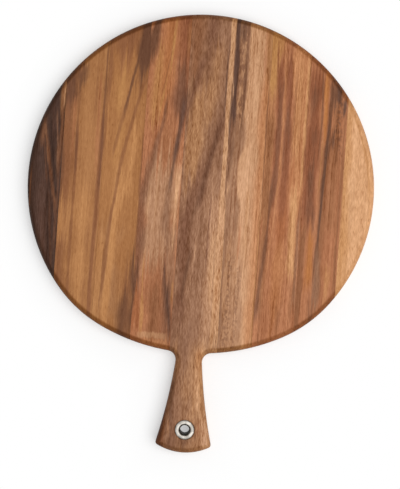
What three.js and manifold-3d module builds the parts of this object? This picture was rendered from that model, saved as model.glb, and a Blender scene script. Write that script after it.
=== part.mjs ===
// A round serving paddle, edge-glued from hardwood staves, with a metal eyelet set in its handle.
// Units are millimetres. +Z is up and the handle points along -Y. The origin is the centre of the
// round board, on the face that it rests on.
import * as THREE from "three";
import { mergeVertices } from "three/addons/utils/BufferGeometryUtils.js";
import Module from "manifold-3d";

// Round board
const BOARD_DIAMETER = 355.6;
const THICKNESS = 19;
const EDGE_ROUND = 6.35; // round-over along the edge of both faces
const EDGE_WALL_LEAST = 1; // upright wall that is always left between the two round-overs
const SHOULDER_FLAT = 7.8; // how far the board is flattened towards the handle
const SHOULDER_EASE = 30; // how much larger than the board's radius the shoulder's radius is
const SHOULDER_BLEND = 135; // radius that eases the board's arc into the shoulder's arc

// Handle
const NECK_WIDTH = 28;
const NECK_LENGTH = 12.2; // from the shoulder to the place where the neck is measured
const NECK_FILLET = 9.5;
const HANDLE_LENGTH = 102.3; // from the shoulder to the tip
const HANDLE_END_WIDTH = 57.8;
const HANDLE_SIDE_RADIUS = 556;
const HANDLE_END_RADIUS = 57;
const HANDLE_CORNER_ROUND = 3.2;

// Staves, measured outwards from the handle's axis
const HANDLE_STAVE_LEFT = 20.3;
const HANDLE_STAVE_RIGHT = 26.7; // at the board's centre
const HANDLE_STAVE_TAPER = 0.5; // degrees that its right joint leans outwards towards the tip
const LEFT_STAVE_WIDTHS = [41.4, 40.4, 41.6]; // the edge stave takes what is left
const RIGHT_STAVE_WIDTHS = [36.3, 41.4, 40];
const EDGE_STAVE_LEAST = 12; // a narrower edge stave is left on its neighbour
const GLUE_LINE = 0.1;

// Eyelet
const EYELET_FROM_TIP = 24.15; // from the handle's tip to the eyelet's axis
const EYELET_ASIDE = 0.7; // to the right of the handle's axis
const EYELET_BORE = 9.5;
const EYELET_WALL = 0.6;
const FLANGE_DIAMETER = 19.8;
const FLANGE_RISE = 1.3; // crest above the serving face
const FLANGE_SEAT = 0.6; // depth that the flange is let into the serving face
const FLANGE_RIM = 0.5; // upright rim below the flange's dome
const THROAT_RADIUS = 2.5; // rounding from the flange's crest into the bore
const WASHER_DIAMETER = 19.8;
const WASHER_THICKNESS = 1;
const WASHER_EDGE = 0.4; // rounding of the washer's outer edge
const CURL_SETBACK = 0.45; // from the rest face up to the rolled end of the barrel
const METAL_GAP = 0.3; // clearance around the barrel and under its rolled end
const SEAT_GAP = 0.4; // clearance around the flange and the washer

// Facets
const BOARD_STEPS = 54;
const BLEND_STEPS = 8;
const SHOULDER_STEPS = 10;
const NECK_STEPS = 8;
const SIDE_STEPS = 8;
const CORNER_STEPS = 4;
const END_STEPS = 8;
const EDGE_STEPS = 4;
const TURNED_STEPS = 36;
const TURNED_ARC_STEPS = 3;

// Sizes that follow from those above
const boardRadius = BOARD_DIAMETER / 2;
const edgeRound = Math.min(EDGE_ROUND, (THICKNESS - EDGE_WALL_LEAST) / 2);
const shoulderRadius = boardRadius + SHOULDER_EASE;
const shoulderReach = boardRadius - SHOULDER_FLAT;
const handleReach = shoulderReach + HANDLE_LENGTH;
const eyeletReach = handleReach - EYELET_FROM_TIP;
const boreRadius = EYELET_BORE / 2;
const barrelRadius = boreRadius + EYELET_WALL;
const flangeRadius = FLANGE_DIAMETER / 2;
const washerRadius = WASHER_DIAMETER / 2;
const frontSeat = THICKNESS - FLANGE_SEAT;
const curlInside = WASHER_THICKNESS + METAL_GAP;
const curlRadius = barrelRadius + curlInside; // from the eyelet's axis to the centre of its curl
const backSeat = CURL_SETBACK + EYELET_WALL + curlInside;

const wasm = await Module();
wasm.setup();

const point = (x, y) => new THREE.Vector2(x, y);
const heading = (from, to) => Math.atan2(to.y - from.y, to.x - from.x);

// Where two circles cross, on the right hand of the way from the first centre to the second.
function crossing(first, firstRadius, second, secondRadius) {
  const way = second.clone().sub(first);
  const span = way.length();
  const along = (firstRadius ** 2 - secondRadius ** 2 + span ** 2) / (2 * span);
  const aside = Math.sqrt(firstRadius ** 2 - along ** 2);
  const rightHand = point(way.y, -way.x);
  return first.clone().addScaledVector(way, along / span).addScaledVector(rightHand, aside / span);
}

// Points on an arc the short way round from one heading to another, without the last point.
function arc(centre, radius, from, to, steps) {
  const sweep = Math.atan2(Math.sin(to - from), Math.cos(to - from));
  return Array.from({ length: steps }, (_, step) => {
    const angle = from + (sweep * step) / steps;
    return point(centre.x + radius * Math.cos(angle), centre.y + radius * Math.sin(angle));
  });
}

// Centres of the tangent arcs that make up the right half of the outline.
const board = point(0, 0);
const shoulder = point(0, shoulderRadius - shoulderReach);
const blend = crossing(
  board, boardRadius - SHOULDER_BLEND,
  shoulder, shoulderRadius - SHOULDER_BLEND,
);
const end = point(0, HANDLE_END_RADIUS - handleReach);
const halfEnd = HANDLE_END_WIDTH / 2;
const sideTop = point(NECK_WIDTH / 2, -shoulderReach - NECK_LENGTH);
const sideFoot = point(halfEnd, end.y - Math.sqrt(HANDLE_END_RADIUS ** 2 - halfEnd ** 2));
const side = crossing(sideFoot, HANDLE_SIDE_RADIUS, sideTop, HANDLE_SIDE_RADIUS);
const neck = crossing(
  shoulder, shoulderRadius + NECK_FILLET,
  side, HANDLE_SIDE_RADIUS - NECK_FILLET,
);
const corner = crossing(
  end, HANDLE_END_RADIUS - HANDLE_CORNER_ROUND,
  side, HANDLE_SIDE_RADIUS + HANDLE_CORNER_ROUND,
);

// The paddle's outline moved inwards by an inset. Where the inset is larger than the rounding of the
// handle's corners, the side and the end meet in a sharp corner.
function outline(inset) {
  const cornerRadius = Math.max(HANDLE_CORNER_ROUND - inset, 0);
  const meeting = cornerRadius > 0
    ? corner
    : crossing(end, HANDLE_END_RADIUS - inset, side, HANDLE_SIDE_RADIUS + inset);
  const sideEnd = heading(side, meeting);
  const endStart = heading(end, meeting);
  const up = Math.PI / 2;
  const boardEnd = heading(board, blend);
  const shoulderStart = heading(shoulder, blend);
  const rightHalf = [
    ...arc(board, boardRadius - inset, up, boardEnd, BOARD_STEPS),
    ...arc(blend, SHOULDER_BLEND - inset, boardEnd, shoulderStart, BLEND_STEPS),
    ...arc(shoulder, shoulderRadius - inset, shoulderStart, heading(shoulder, neck), SHOULDER_STEPS),
    ...arc(neck, NECK_FILLET + inset, heading(neck, shoulder), heading(side, neck), NECK_STEPS),
    ...arc(side, HANDLE_SIDE_RADIUS + inset, heading(side, neck), sideEnd, SIDE_STEPS),
    ...arc(meeting, cornerRadius, sideEnd + Math.PI, endStart, CORNER_STEPS),
    ...arc(end, HANDLE_END_RADIUS - inset, endStart, -up, END_STEPS),
  ];
  const tip = point(0, inset - handleReach);
  const leftHalf = rightHalf.slice(1).reverse().map(({ x, y }) => point(-x, y));
  return [...rightHalf, tip, ...leftHalf].reverse();
}

// A closed solid through a stack of outlines that all have the same number of points.
function loft(levels) {
  const count = levels[0].points.length;
  const positions = levels.flatMap(({ z, points }) => points.flatMap(({ x, y }) => [x, y, z]));
  const triangles = [];
  for (let level = 0; level < levels.length - 1; level += 1) {
    for (let here = 0; here < count; here += 1) {
      const next = (here + 1) % count;
      const low = level * count;
      const high = low + count;
      triangles.push(low + here, low + next, high + next);
      triangles.push(low + here, high + next, high + here);
    }
  }
  const last = (levels.length - 1) * count;
  for (const [a, b, c] of THREE.ShapeUtils.triangulateShape(levels[0].points, [])) {
    triangles.push(a, c, b);
  }
  for (const [a, b, c] of THREE.ShapeUtils.triangulateShape(levels.at(-1).points, [])) {
    triangles.push(last + a, last + b, last + c);
  }
  const geometry = new THREE.BufferGeometry();
  geometry.setAttribute("position", new THREE.Float32BufferAttribute(positions, 3));
  geometry.setIndex(triangles);
  return geometry;
}

// The whole paddle before it is divided: each round-over is a quarter circle from wall to face.
function blankGeometry() {
  const quarter = Array.from({ length: EDGE_STEPS + 1 }, (_, step) => (Math.PI / 2) * (step / EDGE_STEPS));
  const lower = quarter.map((angle) => ({
    z: edgeRound * (1 - Math.cos(angle)),
    points: outline(edgeRound * (1 - Math.sin(angle))),
  }));
  const upper = lower.map(({ z, points }) => ({ z: THICKNESS - z, points })).reverse();
  return loft([...lower, ...upper]);
}

// A profile of radius and height, turned about the vertical axis.
function turned(profile) {
  const ring = profile.getPoints(TURNED_ARC_STEPS);
  ring.push(ring[0].clone());
  return new THREE.LatheGeometry(ring, TURNED_STEPS).rotateX(Math.PI / 2);
}

// Hole for the barrel, with a shallow seat for the flange and a deeper one for the washer.
function boreGeometry() {
  const holeRadius = barrelRadius + METAL_GAP;
  const profile = new THREE.Path()
    .moveTo(0, -THICKNESS)
    .lineTo(washerRadius + SEAT_GAP, -THICKNESS)
    .lineTo(washerRadius + SEAT_GAP, backSeat)
    .lineTo(holeRadius, backSeat)
    .lineTo(holeRadius, frontSeat)
    .lineTo(flangeRadius + SEAT_GAP, frontSeat)
    .lineTo(flangeRadius + SEAT_GAP, 2 * THICKNESS)
    .lineTo(0, 2 * THICKNESS);
  return turned(profile).translate(EYELET_ASIDE, -eyeletReach, 0);
}

// Barrel and domed flange in one, with the barrel's lower end rolled outwards over the washer.
function eyeletGeometry() {
  const crestRadius = boreRadius + THROAT_RADIUS;
  const crest = THICKNESS + FLANGE_RISE;
  const rim = frontSeat + FLANGE_RIM;
  const curlOutside = curlInside + EYELET_WALL;
  const profile = new THREE.Path()
    .moveTo(barrelRadius, backSeat)
    .lineTo(barrelRadius, frontSeat)
    .lineTo(flangeRadius, frontSeat)
    .lineTo(flangeRadius, rim)
    .absellipse(crestRadius, rim, flangeRadius - crestRadius, crest - rim, 0, Math.PI / 2)
    .absarc(crestRadius, crest - THROAT_RADIUS, THROAT_RADIUS, Math.PI / 2, Math.PI)
    .lineTo(boreRadius, backSeat)
    .absarc(curlRadius, backSeat, curlOutside, Math.PI, 1.5 * Math.PI)
    .lineTo(curlRadius, backSeat - curlInside)
    .absarc(curlRadius, backSeat, curlInside, 1.5 * Math.PI, Math.PI, true);
  return turned(profile);
}

// Ring with a rounded nose under the barrel's curl and an eased outer edge.
function washerGeometry() {
  const face = backSeat - WASHER_THICKNESS;
  const profile = new THREE.Path()
    .moveTo(washerRadius, backSeat)
    .lineTo(curlRadius - WASHER_THICKNESS, backSeat)
    .absarc(curlRadius, backSeat, WASHER_THICKNESS, Math.PI, 1.5 * Math.PI)
    .absarc(washerRadius - WASHER_EDGE, face + WASHER_EDGE, WASHER_EDGE, 1.5 * Math.PI, 2 * Math.PI);
  return turned(profile);
}

function solid(geometry) {
  const bare = geometry.clone();
  bare.deleteAttribute("normal");
  bare.deleteAttribute("uv");
  const merged = mergeVertices(bare);
  const index = merged.index.array;
  const triVerts = [];
  for (let at = 0; at < index.length; at += 3) {
    const [a, b, c] = index.slice(at, at + 3);
    if (a !== b && b !== c && c !== a) {
      triVerts.push(a, b, c);
    }
  }
  return new wasm.Manifold(new wasm.Mesh({
    numProp: 3,
    vertProperties: Float32Array.from(merged.attributes.position.array),
    triVerts: Uint32Array.from(triVerts),
  }));
}

function surface(body) {
  const mesh = body.getMesh();
  const geometry = new THREE.BufferGeometry();
  geometry.setAttribute("position", new THREE.BufferAttribute(mesh.vertProperties, mesh.numProp));
  geometry.setIndex(new THREE.BufferAttribute(mesh.triVerts, 1));
  return geometry;
}

function named(name, geometry, colour, roughness, metalness) {
  const flat = geometry.index ? geometry.toNonIndexed() : geometry;
  flat.computeVertexNormals();
  const mesh = new THREE.Mesh(flat, new THREE.MeshStandardMaterial({ color: colour, roughness, metalness }));
  mesh.name = name;
  return mesh;
}

// Glue joints on one side of the handle stave, as distances from the handle's axis.
function jointsFrom(first, widths) {
  const joints = [first];
  for (const width of widths) {
    const next = joints.at(-1) + width;
    if (next < boardRadius - EDGE_STAVE_LEAST) {
      joints.push(next);
    }
  }
  return joints;
}

// The space between two glue joints. Each joint is a place on the X axis and a lean in degrees.
function staveSpace(left, right) {
  const far = 2 * (boardRadius + handleReach);
  const placeAt = ({ place, lean }, y) => place - y * Math.tan(THREE.MathUtils.degToRad(lean));
  const corners = [
    point(placeAt(left, -far) + GLUE_LINE / 2, -far),
    point(placeAt(right, -far) - GLUE_LINE / 2, -far),
    point(placeAt(right, far) - GLUE_LINE / 2, far),
    point(placeAt(left, far) + GLUE_LINE / 2, far),
  ];
  const shape = new THREE.Shape(corners);
  const block = new THREE.ExtrudeGeometry(shape, { depth: 3 * THICKNESS, bevelEnabled: false });
  return solid(block.translate(0, 0, -THICKNESS));
}

const WOOD_ROUGHNESS = 0.5;
const HANDLE_STAVE_COLOUR = 0x7d5a3f;
const LEFT_COLOURS = [0x9a6a4a, 0xa57a4e, 0xa9774c, 0x4a3024];
const RIGHT_COLOURS = [0x9b6a50, 0xa5663f, 0x8f4f30, 0xcf9d72];
const METAL_COLOUR = 0xb9b4ab;
const FLANGE_ROUGHNESS = 0.28;
const WASHER_ROUGHNESS = 0.35;

// Divides the paddle at its glue joints. A corner of the handle that lies past the handle stave's joint
// is a piece of its own.
function panel() {
  const group = new THREE.Group();
  group.name = "panel";
  const blank = solid(blankGeometry()).subtract(solid(boreGeometry()));
  const leftJoints = jointsFrom(HANDLE_STAVE_LEFT, LEFT_STAVE_WIDTHS);
  const rightJoints = jointsFrom(HANDLE_STAVE_RIGHT, RIGHT_STAVE_WIDTHS);
  const beyond = 2 * boardRadius;
  const upright = (place) => ({ place, lean: 0 });
  const leaning = (place, at) => ({ place, lean: at === 0 ? HANDLE_STAVE_TAPER : 0 });
  const lines = [
    upright(-beyond),
    ...leftJoints.map((joint) => upright(-joint)).reverse(),
    ...rightJoints.map(leaning),
    upright(beyond),
  ];
  for (let at = 0; at < lines.length - 1; at += 1) {
    const outwards = at - leftJoints.length;
    const side = outwards < 0 ? "left" : "right";
    const colours = outwards < 0 ? LEFT_COLOURS : RIGHT_COLOURS;
    const rank = Math.abs(outwards);
    const colour = rank === 0 ? HANDLE_STAVE_COLOUR : colours[rank - 1];
    const pieces = blank.intersect(staveSpace(lines[at], lines[at + 1])).decompose();
    pieces.sort((a, b) => b.volume() - a.volume());
    const names = [rank === 0 ? "handle_stave" : `${side}_stave_${rank}`, `handle_corner_${side}`];
    pieces.forEach((piece, which) => {
      group.add(named(names[which], surface(piece), colour, WOOD_ROUGHNESS, 0));
    });
  }
  return group;
}

function eyelet() {
  const group = new THREE.Group();
  group.name = "eyelet";
  group.position.set(EYELET_ASIDE, -eyeletReach, 0);
  group.add(named("eyelet_front", eyeletGeometry(), METAL_COLOUR, FLANGE_ROUGHNESS, 1));
  group.add(named("eyelet_back_washer", washerGeometry(), METAL_COLOUR, WASHER_ROUGHNESS, 1));
  return group;
}

const paddle = new THREE.Group();
paddle.name = "serving_paddle";
paddle.add(panel(), eyelet());

export default paddle;
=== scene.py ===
"""Round serving paddle: edge-glued acacia staves, a flared handle and a pressed eyelet to hang it by.

Laid out as a Blender add-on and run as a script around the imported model.
Lengths are metres in the frame of that model; the grain of the wood is placed in millimetres.
"""

from typing import NamedTuple

import bpy
import numpy as np
from bpy.props import FloatProperty, PointerProperty, StringProperty
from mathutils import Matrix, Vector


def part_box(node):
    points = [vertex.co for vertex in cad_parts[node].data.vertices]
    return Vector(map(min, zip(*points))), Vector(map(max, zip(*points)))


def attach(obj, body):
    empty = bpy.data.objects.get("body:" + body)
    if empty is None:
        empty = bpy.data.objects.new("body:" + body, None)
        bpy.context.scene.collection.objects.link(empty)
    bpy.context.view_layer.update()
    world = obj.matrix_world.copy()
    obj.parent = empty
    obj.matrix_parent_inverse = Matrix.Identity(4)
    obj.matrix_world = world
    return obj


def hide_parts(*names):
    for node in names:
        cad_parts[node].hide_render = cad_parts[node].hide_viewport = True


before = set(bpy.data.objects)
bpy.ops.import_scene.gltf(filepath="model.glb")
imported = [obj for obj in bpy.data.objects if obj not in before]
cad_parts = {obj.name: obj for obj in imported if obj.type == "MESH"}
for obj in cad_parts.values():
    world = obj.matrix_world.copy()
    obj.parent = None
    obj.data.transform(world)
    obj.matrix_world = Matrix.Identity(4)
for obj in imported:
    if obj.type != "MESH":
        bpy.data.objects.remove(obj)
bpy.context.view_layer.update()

bl_info = {
    "name": "Serving paddle",
    "version": (1, 0, 0),
    "blender": (4, 5, 0),
    "location": "View3D > Sidebar > Paddle",
    "description": "Builds a round edge-glued serving paddle with a hanging eyelet",
    "category": "Add Mesh",
}

BODY = "root"
HANDLE = "handle"
MM = 0.001
MM_PER_METRE = 1000.0

# How finely the surfaces are divided, and the angle past which two faces meet in a sharp edge.
BOARD_STEPS = 150
BLEND_STEPS = 10
SHOULDER_STEPS = 40
NECK_STEPS = 24
SIDE_STEPS = 40
CORNER_STEPS = 12
END_STEPS = 36
ROUND_STEPS = 10
LATHE_STEPS = 128
CURVE_STEPS = 14
FLOOR_LINES = 11
CREASE = np.radians(35)

CAMERA_SENSOR = 36.0  # height of the picture on the sensor, in millimetres

# Noise lies about its middle value, and most of it between the low and the high one.
NOISE_MIDDLE = 0.5
NOISE_LOW = 0.25
NOISE_HIGH = 0.75

# Run of the grain. A size is a width across the fibres and a length along them, in millimetres.
WANDER_SIZE = (26.0, 120.0)
FEATHER_SIZE = (1.7, 30.0)
RAGGED_SIZE = (2.2, 160.0)
WANDER_SWING = 2.0  # times a stave's own wander
FEATHER_SWING = 1.33  # times a stave's own wander
RAGGED_REACH = 3.0  # times the length over which a streak fades
RING_DRIFT = 0.2  # how far a streak moves aside for each millimetre down through the board
RISE = 100.0  # length along a stave for which a streak's lean and bow are given
SWELL_WAVE = 50.0  # length of the waves in which a streak swells and narrows

# What breaks a streak up: the size of its noise, and the values between which the streak comes back.
BREAKS = {
    "Flecks": ((1.4, 6.0), 0.42, 0.62),
    "Curls": ((2.0, 4.0), 0.4, 0.62),
}
RUN_SOCKETS = ("Across", "Along", "Ragged", *BREAKS)

# Finish of the wood. Darker wood is redder, so the figure moves blue more than red. Pale fibres shine most.
FIGURE_SWING = (1.0, 1.3, 1.6)
FIGURE_RANGE = 0.25
PATCH_SIZE = (14.0, 70.0)  # patches in which veins and pores come and go
DARK_ROUGHNESS = 0.6
PALE_ROUGHNESS = 0.46
WOOD_IOR = 1.5
WOOD_SPECULAR = 0.12
GRAIN_BUMP = 0.25
GRAIN_DEPTH = 0.2 * MM
RIM_SLOPE = 0.36  # how far the rounded edge faces outwards where its oil and painted shade are full
END_SLOPE = 0.22  # how far it faces along the fibres there

# Finish of the metal. The painted shade in the throat and at the flange's edge is placed in radii of the
# throat, noise sizes are millimetres, and each kind of darkening, painted shade too, has a share by which it
# dulls the plate.
THROAT_SHADE_START = 0.42
THROAT_SHADE_STOP = 0.8
THROAT_SHADE_DARK = 0.8
EDGE_SHADE_WIDTH = 0.5
EDGE_SHADE_DARK = 0.5
SCUFF_SIZE = 1.2
SCUFF_DULL = 0.2
TARNISH_SIZE = 5.0
TARNISH_START = 0.38
TARNISH_FULL = 0.68
TARNISH_DULL = 0.36
DARK_PATCH_TURN = np.pi  # turn of the tarnished pattern about the eyelet's axis, which puts its darkest patch at the lower right as painted shade
METAL_ROUGHNESS = 0.5
SCUFF_ROUGHNESS = 0.7

# Settings that nodes share: a map range with soft ends, and a mix of colours with its sockets' numbers.
SMOOTH = {"interpolation_type": "SMOOTHSTEP"}
OF_COLOURS = {"data_type": "RGBA", "out": 2}
MIX_A = 6
MIX_B = 7
LEVEL = (1.0, 1.0, 0.0)  # takes the height out of a vector

_, board_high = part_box("right_stave_4")
handle_low, handle_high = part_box("handle_stave")
flange_low, flange_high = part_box("eyelet_front")
washer_low, washer_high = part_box("eyelet_back_washer")


def length(label, meaning, size):
    """A length property, shown in the scene's own unit."""
    return FloatProperty(name=label, description=meaning, default=size, min=0.0, unit="LENGTH", precision=5)


def angle(label, meaning, degrees):
    """An angle property, written in degrees."""
    return FloatProperty(name=label, description=meaning, default=np.radians(degrees), subtype="ANGLE")


def factor(label, meaning, amount):
    """A property that runs from nothing to all."""
    return FloatProperty(
        name=label, description=meaning, default=amount, min=0.0, max=1.0, subtype="FACTOR"
    )


def tone(label, hex_code):
    """A tone of a material, written as an sRGB hex value."""
    return StringProperty(name=label, description=f"{label}, as an sRGB hex value", default=hex_code)


class PaddleSizes(bpy.types.PropertyGroup):
    """Sizes of the board, the neck, the handle and the staves."""

    board_radius: length("Board radius", "Radius of the round board", board_high.x)
    thickness: length("Thickness", "Thickness of the board", handle_high.z)
    edge_round: length("Edge round", "Radius of the rounded edge on both faces", 6.35 * MM)
    shoulder_flat: length("Shoulder flat", "How far the shoulder lies inside the round", 7.8 * MM)
    shoulder_ease: length("Shoulder ease", "How much larger the shoulder's radius is", 30 * MM)
    shoulder_blend: length("Shoulder blend", "Radius between the round and the shoulder", 135 * MM)
    neck_width: length("Neck width", "Narrowest width of the handle", 28 * MM)
    neck_length: length("Neck length", "From the shoulder to the narrowest place", 12.2 * MM)
    neck_fillet: length("Neck fillet", "Radius between the shoulder and the handle", 9.5 * MM)
    handle_reach: length("Handle reach", "From the board's centre to the tip", -handle_low.y)
    handle_end_width: length("Handle end width", "Width of the flared end", 57.8 * MM)
    handle_side_radius: length("Handle side radius", "Radius of the hollow sides", 556 * MM)
    handle_end_radius: length("Handle end radius", "Radius of the rounded end", 57 * MM)
    handle_corner: length("Handle corner", "Rounding of the two end corners", 3.2 * MM)
    handle_left: length("Handle stave, left", "From the middle to the left joint", 20.3 * MM)
    handle_right: length("Handle stave, right", "From the middle to the right joint", 26.7 * MM)
    handle_taper: angle("Right joint taper", "Lean of the handle stave's right joint", 0.5)
    glue_line: length("Glue line", "Width of the glued joints", 0.1 * MM)


class EyeletSizes(bpy.types.PropertyGroup):
    """Sizes of the pressed eyelet, its washer and their seats in the handle."""

    aside: length("Aside", "How far right of the handle's axis the eyelet sits", 0.7 * MM)
    from_tip: length("From tip", "From the tip of the handle to the eyelet's axis", 24.15 * MM)
    bore: length("Bore", "Diameter of the clear hole", 9.5 * MM)
    wall: length("Wall", "Thickness of the pressed sheet", 0.6 * MM)
    flange_radius: length("Flange radius", "Radius of the domed flange", (flange_high.x - flange_low.x) / 2)
    flange_top: length("Flange top", "Height of the flange's crest", flange_high.z)
    flange_seat: length("Flange seat", "How deep the flange is let in", 0.6 * MM)
    flange_rim: length("Flange rim", "Height of the flange's outer rim", 0.5 * MM)
    throat: length("Throat", "Radius from the crest into the bore", 2.5 * MM)
    washer_radius: length("Washer radius", "Radius of the back washer", (washer_high.x - washer_low.x) / 2)
    washer_top: length("Washer top", "Height of the washer's seat", washer_high.z)
    washer_thickness: length("Washer thickness", "Thickness of the washer", 1 * MM)
    washer_edge: length("Washer edge", "Rounding of the washer's edge", 0.4 * MM)
    metal_gap: length("Metal gap", "Clearance round the barrel", 0.3 * MM)
    seat_gap: length("Seat gap", "Clearance round the flange and the washer", 0.4 * MM)
    hole_ease: length("Hole ease", "Chamfer where the seats meet the faces", 0.25 * MM)


class PaddleTones(bpy.types.PropertyGroup):
    """Tones of the acacia from the darkest heartwood to the sapwood, of its oil with the painted shade of its
    edge, and of the metal.
    """

    char: tone("Char", "#34221a")
    umber: tone("Umber", "#473026")
    plum: tone("Plum", "#5f4134")
    walnut: tone("Walnut", "#6b4530")
    cocoa: tone("Cocoa", "#7b5039")
    bark: tone("Bark", "#8a5838")
    brick: tone("Brick", "#8f5537")
    drab: tone("Drab", "#8b6148")
    chestnut: tone("Chestnut", "#9a6541")
    clay: tone("Clay", "#986c50")
    russet: tone("Russet", "#a4633c")
    ochre: tone("Ochre", "#aa7345")
    fawn: tone("Fawn", "#ae7c54")
    tan: tone("Tan", "#ae784b")
    copper: tone("Copper", "#b37550")
    orange: tone("Orange", "#b4723e")
    rose: tone("Rose", "#b78765")
    honey: tone("Honey", "#bd8650")
    amber: tone("Amber", "#c38a57")
    salmon: tone("Salmon", "#c4865a")
    peach: tone("Peach", "#cf9766")
    oat: tone("Oat", "#c6946c")
    cream: tone("Cream", "#d09d76")
    blush: tone("Blush", "#deb295")
    sap: tone("Sapwood", "#dda77a")
    # These two oil tones also carry the painted shade of the rounded edge.
    rim_oil_and_shade: tone("Oil and painted shade on the rounded edge", "#d8cab2")
    end_oil_and_shade: tone("Oil and painted shade on end grain", "#d8cfba")
    nickel: tone("Nickel plate", "#c1bcb4")
    # The tarnished tone also darkens the eyelet as painted shade in its throat and at its flange's edge.
    tarnish_and_shade: tone("Tarnish", "#3c362f")


class StageSettings(bpy.types.PropertyGroup):
    """Camera, lamp, floor and surroundings."""

    camera_height: length("Camera height", "Height of the camera over the floor", 1.35)
    camera_right: length("Camera right", "How far right of the board's centre it stands", 3.2 * MM)
    camera_down: length("Camera down", "How far towards the handle it stands", 58.1 * MM)
    camera_turn: angle("Camera turn", "How far the camera is turned about its axis", 4.0)
    lens: FloatProperty(name="Lens", description="Focal length", default=95.9, unit="CAMERA")
    lamp_power: FloatProperty(
        name="Lamp power", description="Power of the soft key lamp", default=154.0, unit="POWER"
    )
    lamp_size: length("Lamp size", "Side of the square soft lamp", 4.2)
    lamp_distance: length("Lamp distance", "From the lamp to the board", 4.0)
    lamp_bearing: angle("Lamp bearing", "Direction of the lamp, turned from the right towards the top", -18.0)
    lamp_elevation: angle("Lamp elevation", "Height of the lamp above the horizon", 66.0)
    ambient: factor("Ambient", "Brightness of the surroundings as a light", 0.32)
    floor_side: length("Floor side", "Side of the square floor", 10.0)
    floor_glow: factor("Floor glow", "Share of plain white in the floor beside the paddle", 0.42)
    floor_fade: length("Floor fade", "How far from the paddle the floor turns plain white", 45 * MM)
    paper: tone("Paper and surroundings", "#ffffff")


def linear(hex_code):
    """Linear RGBA of an sRGB hex value: the sRGB curve undone on each channel."""
    digits = hex_code.lstrip("#")
    channels = np.array([int(digits[place:place + 2], 16) for place in (0, 2, 4)]) / 255
    curved = np.where(channels <= 0.04045, channels / 12.92, ((channels + 0.055) / 1.055) ** 2.4)
    return (*curved.tolist(), 1.0)


def node(tree, kind, feeds=(), out=0, **settings):
    """Adds a shader node with its settings, and feeds its sockets from values or links.

    feeds names or numbers the sockets, or lists what goes into them in their order.
    Gives the output that is asked for, or all of them where out is None.
    """
    made = tree.nodes.new(f"ShaderNode{kind}")
    for name, value in settings.items():
        setattr(made, name, value)
    for socket, feed in feeds.items() if isinstance(feeds, dict) else enumerate(feeds):
        if isinstance(feed, bpy.types.NodeSocket):
            tree.links.new(feed, made.inputs[socket])
        else:
            made.inputs[socket].default_value = feed
    return made.outputs if out is None else made.outputs[out]


def node_group(name, takes, gives):
    """An empty node group whose sockets are listed by kind: its tree, what it takes and what it gives."""
    group = bpy.data.node_groups.new(name, "ShaderNodeTree")
    for way, sockets in (("INPUT", takes), ("OUTPUT", gives)):
        for kind, labels in sockets.items():
            for label in labels:
                group.interface.new_socket(name=label, in_out=way, socket_type=f"NodeSocket{kind}")
    return group, group.nodes.new("NodeGroupInput").outputs, group.nodes.new("NodeGroupOutput").inputs


def empty_tree(owner):
    """The node tree of a material or a world, with nothing in it."""
    owner.use_nodes = True
    owner.node_tree.nodes.clear()
    return owner.node_tree


class Streak(NamedTuple):
    """One streak of grain in millimetres.

    Its middle line is x = at + lean * rise + bow * rise^2, where rise is y / 100 mm.
    It is half wide to either side, soft over that share of its half width, and runs between its two ends
    along y, where it fades over that length. Strength is how far it hides the wood below. Fleck and curl
    break it up into short flecks or a curly ripple. Swell is the share of its width by which it grows and
    shrinks.
    """

    tone: str
    at: float
    half: float
    ends: tuple = (-400.0, 400.0)
    lean: float = 0.0
    bow: float = 0.0
    strength: float = 0.85
    soft: float = 0.75
    fade: float = 22.0
    fleck: float = 0.0
    curl: float = 0.0
    swell: float = 0.5

    def feeds(self):
        """What the streak's node group takes, with its full core and its least and most width."""
        low, high = self.ends
        return {
            "At": self.at, "Half": self.half, "Core": self.half * (1 - self.soft),
            "Lean": self.lean, "Bow": self.bow, "Low": low, "High": high, "Fade": self.fade,
            "Strength": self.strength, "Fleck": self.fleck, "Curl": self.curl,
            "Thin": 1 - self.swell, "Thick": 1 + self.swell,
        }


def shade(*place, **run):
    """A streak that is soft right in to its middle line."""
    return Streak(*place, soft=1.0, **run)


class Grain(NamedTuple):
    """The grain of a stave: its main tone, the start of its noise, its streaks and how bold its figure is."""

    tone: str
    seed: float
    streaks: tuple
    fibre: float = 0.36
    stroke: float = 0.12
    vein: float = 0.45
    pore: float = 0.3
    # How far the rounded edge darkens, partly as oil and partly as painted shade, set stave by stave.
    rim: float = 1.0
    wander: float = 1.8


class Layer(NamedTuple):
    """A layer of the figure: noise that wide and long in millimetres, turned by slant, times a gain.

    Share names the amount of it that each stave has.
    """

    share: str
    gain: float
    wide: float
    long: float
    slant: float = 0.0


class Mark(NamedTuple):
    """Dark marks where noise that wide and long, in millimetres, comes near a value away from its middle.

    Share names the amount of it that each stave has, and soft is how near the noise has to come.
    """

    share: str
    wide: float
    long: float
    away: float
    soft: float


# The finest fibres of acacia, about 0.1 mm, are drawn 0.8 mm wide so that they show.
LAYERS = (
    Layer("Fibre", gain=1.4, wide=12.0, long=150.0),
    Layer("Fibre", gain=2.2, wide=4.5, long=110.0),
    Layer("Fibre", gain=1.6, wide=1.8, long=75.0),
    Layer("Fibre", gain=1.1, wide=0.8, long=20.0),
    Layer("Stroke", gain=2.4, wide=1.4, long=8.0, slant=0.16),
    Layer("Stroke", gain=2.0, wide=1.2, long=6.0, slant=-0.2),
)

# Veins are dark lines 4 to 5 mm apart. Pores are slits of about 0.3 mm, drawn 0.9 mm wide so that they show.
MARKS = (
    Mark("Vein", wide=3.6, long=230.0, away=0.0, soft=0.035),
    Mark("Pore", wide=0.9, long=6.0, away=0.22, soft=0.1),
)
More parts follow.
